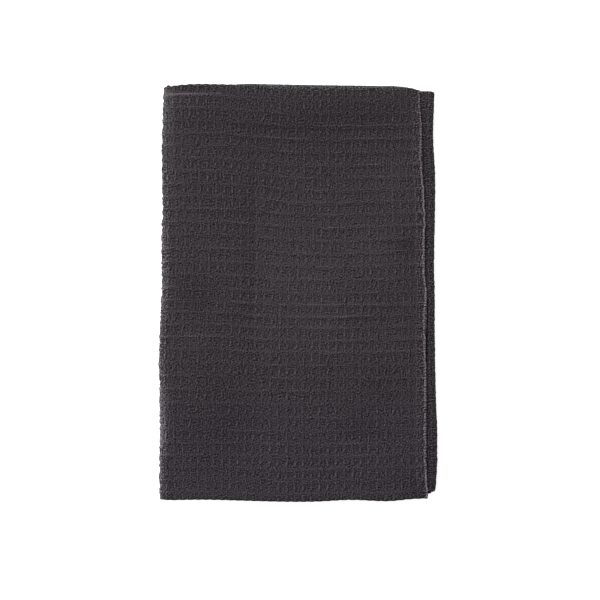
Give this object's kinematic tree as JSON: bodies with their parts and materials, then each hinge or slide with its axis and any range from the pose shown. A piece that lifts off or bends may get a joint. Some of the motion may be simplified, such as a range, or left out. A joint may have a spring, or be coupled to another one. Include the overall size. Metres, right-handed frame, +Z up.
{
  "type": "folded sauna towel",
  "caption": "Dark charcoal waffle-weave cotton sauna towel, doubled along its length and folded crosswise into a flat rectangular pile with a rounded spine and a top flap.",
  "frame": {"origin": "middle of the towel's bounding box at its underside, on the surface it lies on", "axes": "+X from the rounded spine to the folded edge beyond the flap, +Y from the selvages to the long fold, +Z up out of the top flap"},
  "size_m": [0.2518, 0.379, 0.0232],
  "materials": {
    "waffle_cotton": "matt charcoal cotton with a faint plum tint, woven in a deep waffle (honeycomb) repeat of about 7.3 by 11.5 mm"
  },
  "bodies": {
    "root": {"towel_cloth": "waffle_cotton"}
  },
  "joints": []
}
